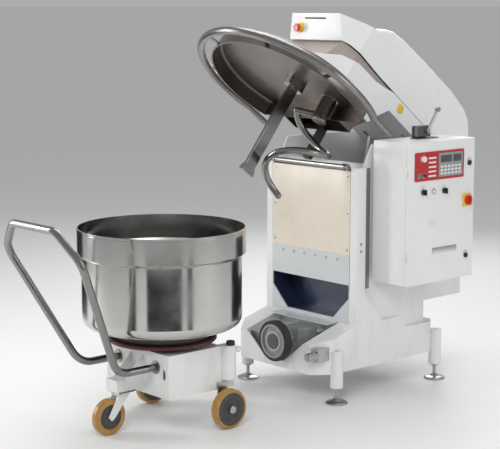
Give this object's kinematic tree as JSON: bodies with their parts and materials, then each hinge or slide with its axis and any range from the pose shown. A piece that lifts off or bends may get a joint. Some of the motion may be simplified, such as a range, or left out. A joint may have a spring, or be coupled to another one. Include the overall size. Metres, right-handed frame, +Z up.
{
  "type": "commercial spiral dough mixer",
  "caption": "Floor-standing spiral dough mixer with a tilting head, cabinet of controls, and a removable bowl on a wheeled trolley.",
  "frame": {"origin": "centre of the whole outline, on the floor", "axes": "+Z up, +Y from the trolley's handle towards the back of the machine, +X towards the control cabinet"},
  "size_m": [1.2857, 3.1446, 2.2442],
  "materials": {
    "amber_wheel": "cast polyurethane",
    "black_plastic": "moulded",
    "black_rubber": "matte",
    "cast_grey": "cast",
    "cream_paint": "satin",
    "dark_paint": "satin",
    "drive_rubber": "ground",
    "green_plastic": "moulded",
    "grey_paint": "satin",
    "grey_plastic": "moulded",
    "machine_steel": "turned",
    "motor_aluminium": "cast",
    "navy_paint": "satin",
    "red_plastic": "moulded",
    "red_ring": "ground",
    "stainless": "polished",
    "white_paint": "satin powder coat",
    "white_plastic": "moulded",
    "yellow_red_plastic": "moulded"
  },
  "bodies": {
    "machine": {"base_frame": "white_paint", "levelling_feet": "machine_steel", "column_sides": "white_paint", "rear_cover": "white_paint", "portal_frame": "white_paint", "front_panel": "cream_paint", "hole_strip": "grey_paint", "recess_surround": "grey_paint", "recess_liner": "navy_paint", "front_rail": "stainless", "pivot_shaft": "machine_steel", "pivot_flanges": "cast_grey", "lift_bracket": "dark_paint", "drive_gearmotor": "cast_grey", "docking_pin": "machine_steel", "cabinet_box": "white_paint", "door_hinges_fixed": "black_plastic", "motor_drive_unit": "grey_plastic", "limit_switch": "dark_paint"},
    "door": {"cabinet_door": "white_paint", "door_hinges_moving": "black_plastic", "panel_bezel": "red_plastic"},
    "limit_lever": {"limit_lever": "machine_steel"},
    "program_knob": {"program_knob": "white_plastic"},
    "start_button": {"start_button": "green_plastic"},
    "stop_button": {"stop_button": "black_plastic"},
    "selector_left": {"selector_left": "black_plastic"},
    "selector_right": {"selector_right": "black_plastic"},
    "main_switch_knob": {"main_switch_knob": "yellow_red_plastic"},
    "latch_upper": {"latch_upper": "black_plastic"},
    "latch_lower": {"latch_lower": "black_plastic"},
    "lift_barrel": {"lift_barrel": "dark_paint"},
    "lift_rod": {"lift_rod": "machine_steel"},
    "drive_wheel": {"drive_wheel": "cast_grey", "drive_wheel_tyre": "drive_rubber"},
    "head": {"head_upper_cover": "white_paint", "head_seam_band": "dark_paint", "head_lower_casing": "white_paint", "head_frame": "white_paint", "spiral_motor": "motor_aluminium", "drive_belt": "black_rubber", "lid_dish": "stainless", "guard_ring": "stainless", "breaker_bar": "stainless", "dough_deflector": "black_plastic"},
    "spiral": {"spiral_tool": "stainless", "spiral_pulley": "cast_grey"},
    "motor_pulley": {"motor_pulley": "cast_grey"},
    "e_stop": {"e_stop_button": "red_plastic"},
    "trolley": {"trolley_chassis": "white_paint", "handle_tube": "stainless", "docking_post": "white_paint", "wheel_axles": "machine_steel"},
    "bowl": {"bowl_shell": "stainless", "bowl_cradle": "dark_paint", "drive_ring": "red_ring"},
    "left_wheel": {"left_wheel": "amber_wheel"},
    "right_wheel": {"right_wheel": "amber_wheel"},
    "caster_fork": {"caster_fork": "white_paint"},
    "caster_wheel": {"caster_wheel": "amber_wheel"}
  },
  "joints": [
    {"name": "head_tilt", "type": "hinge", "parent": "machine", "child": "head", "pos_m": [-0.05222, 0.97601, 0.882], "axis": [1, 0, 0], "range_deg": [0, 38]},
    {"name": "lift_barrel_tilt", "type": "hinge", "parent": "machine", "child": "lift_barrel", "pos_m": [-0.05222, 0.74551, 0.47], "axis": [1, 0, 0], "range_deg": [0, 8.97]},
    {"name": "lift_rod_stroke", "type": "slide", "parent": "lift_barrel", "child": "lift_rod", "axis": [0, 0.035, 0.9994], "range_m": [-0.1691, 0]},
    {"name": "spiral_spin", "type": "hinge", "parent": "head", "child": "spiral", "pos_m": [0.09278, 0.34152, 1.65436], "axis": [0, 0.6157, 0.788], "continuous": true},
    {"name": "motor_pulley_spin", "type": "hinge", "parent": "head", "child": "motor_pulley", "pos_m": [-0.03222, 1.10245, 1.69436], "axis": [0, 0.6157, 0.788], "continuous": true},
    {"name": "e_stop_push", "type": "slide", "parent": "head", "child": "e_stop", "axis": [0, 1, 0], "range_m": [0, 0.005], "stiffness_N_per_m": 900},
    {"name": "trolley_roll", "type": "slide", "parent": "machine", "child": "trolley", "axis": [0, 1, 0], "range_m": [-0.4, 0.535]},
    {"name": "left_wheel_spin", "type": "hinge", "parent": "trolley", "child": "left_wheel", "pos_m": [-0.39222, -0.54049, 0.11], "axis": [1, 0, 0], "continuous": true},
    {"name": "right_wheel_spin", "type": "hinge", "parent": "trolley", "child": "right_wheel", "pos_m": [0.28778, -0.54049, 0.11], "axis": [1, 0, 0], "continuous": true},
    {"name": "caster_swivel", "type": "hinge", "parent": "trolley", "child": "caster_fork", "pos_m": [-0.05222, -1.01949, 0.22], "axis": [0, 0, 1], "continuous": true},
    {"name": "caster_wheel_spin", "type": "hinge", "parent": "caster_fork", "child": "caster_wheel", "pos_m": [-0.05222, -1.10249, 0.1], "axis": [1, 0, 0], "continuous": true},
    {"name": "bowl_spin", "type": "hinge", "parent": "trolley", "child": "bowl", "pos_m": [-0.05222, -0.72949, 0.52], "axis": [0, 0, 1], "continuous": true},
    {"name": "drive_wheel_spin", "type": "hinge", "parent": "machine", "child": "drive_wheel", "pos_m": [0.03278, 0.04051, 0.352], "axis": [0, 1, 0], "continuous": true},
    {"name": "door_swing", "type": "hinge", "parent": "machine", "child": "door", "pos_m": [0.59178, 0.52751, 1.1], "axis": [0, 0, -1], "range_deg": [0, 110]},
    {"name": "limit_lever_swing", "type": "hinge", "parent": "machine", "child": "limit_lever", "pos_m": [0.46778, 0.84551, 1.56], "axis": [1, 0, 0], "range_deg": [-20, 0], "stiffness_Nm_per_rad": 2, "springref_deg": 22.92},
    {"name": "program_knob_turn", "type": "hinge", "parent": "door", "child": "program_knob", "pos_m": [0.60778, 0.64751, 1.42], "axis": [1, 0, 0], "range_deg": [-140, 140]},
    {"name": "selector_left_turn", "type": "hinge", "parent": "door", "child": "selector_left", "pos_m": [0.60778, 0.65951, 1.228], "axis": [1, 0, 0], "range_deg": [-45, 45]},
    {"name": "selector_right_turn", "type": "hinge", "parent": "door", "child": "selector_right", "pos_m": [0.60778, 0.84151, 1.224], "axis": [1, 0, 0], "range_deg": [-45, 45]},
    {"name": "main_switch_turn", "type": "hinge", "parent": "door", "child": "main_switch_knob", "pos_m": [0.60778, 1.04651, 1.152], "axis": [1, 0, 0], "range_deg": [0, 90]},
    {"name": "latch_upper_turn", "type": "hinge", "parent": "door", "child": "latch_upper", "pos_m": [0.60778, 1.06251, 1.371], "axis": [1, 0, 0], "range_deg": [0, 90]},
    {"name": "latch_lower_turn", "type": "hinge", "parent": "door", "child": "latch_lower", "pos_m": [0.60778, 1.04551, 0.819], "axis": [1, 0, 0], "range_deg": [0, 90]},
    {"name": "start_button_push", "type": "slide", "parent": "door", "child": "start_button", "axis": [-1, 0, 0], "range_m": [0, 0.004], "stiffness_N_per_m": 500},
    {"name": "stop_button_push", "type": "slide", "parent": "door", "child": "stop_button", "axis": [-1, 0, 0], "range_m": [0, 0.004], "stiffness_N_per_m": 500}
  ],
  "couplings": [
    {"joint": "lift_barrel_tilt", "follows": "head_tilt", "ratio": 0.22553},
    {"joint": "lift_rod_stroke", "follows": "head_tilt", "m_per_rad": -0.25044},
    {"joint": "motor_pulley_spin", "follows": "spiral_spin", "ratio": 2.1},
    {"joint": "left_wheel_spin", "follows": "trolley_roll", "rad_per_m": -9.0909},
    {"joint": "right_wheel_spin", "follows": "trolley_roll", "rad_per_m": -9.0909}
  ]
}
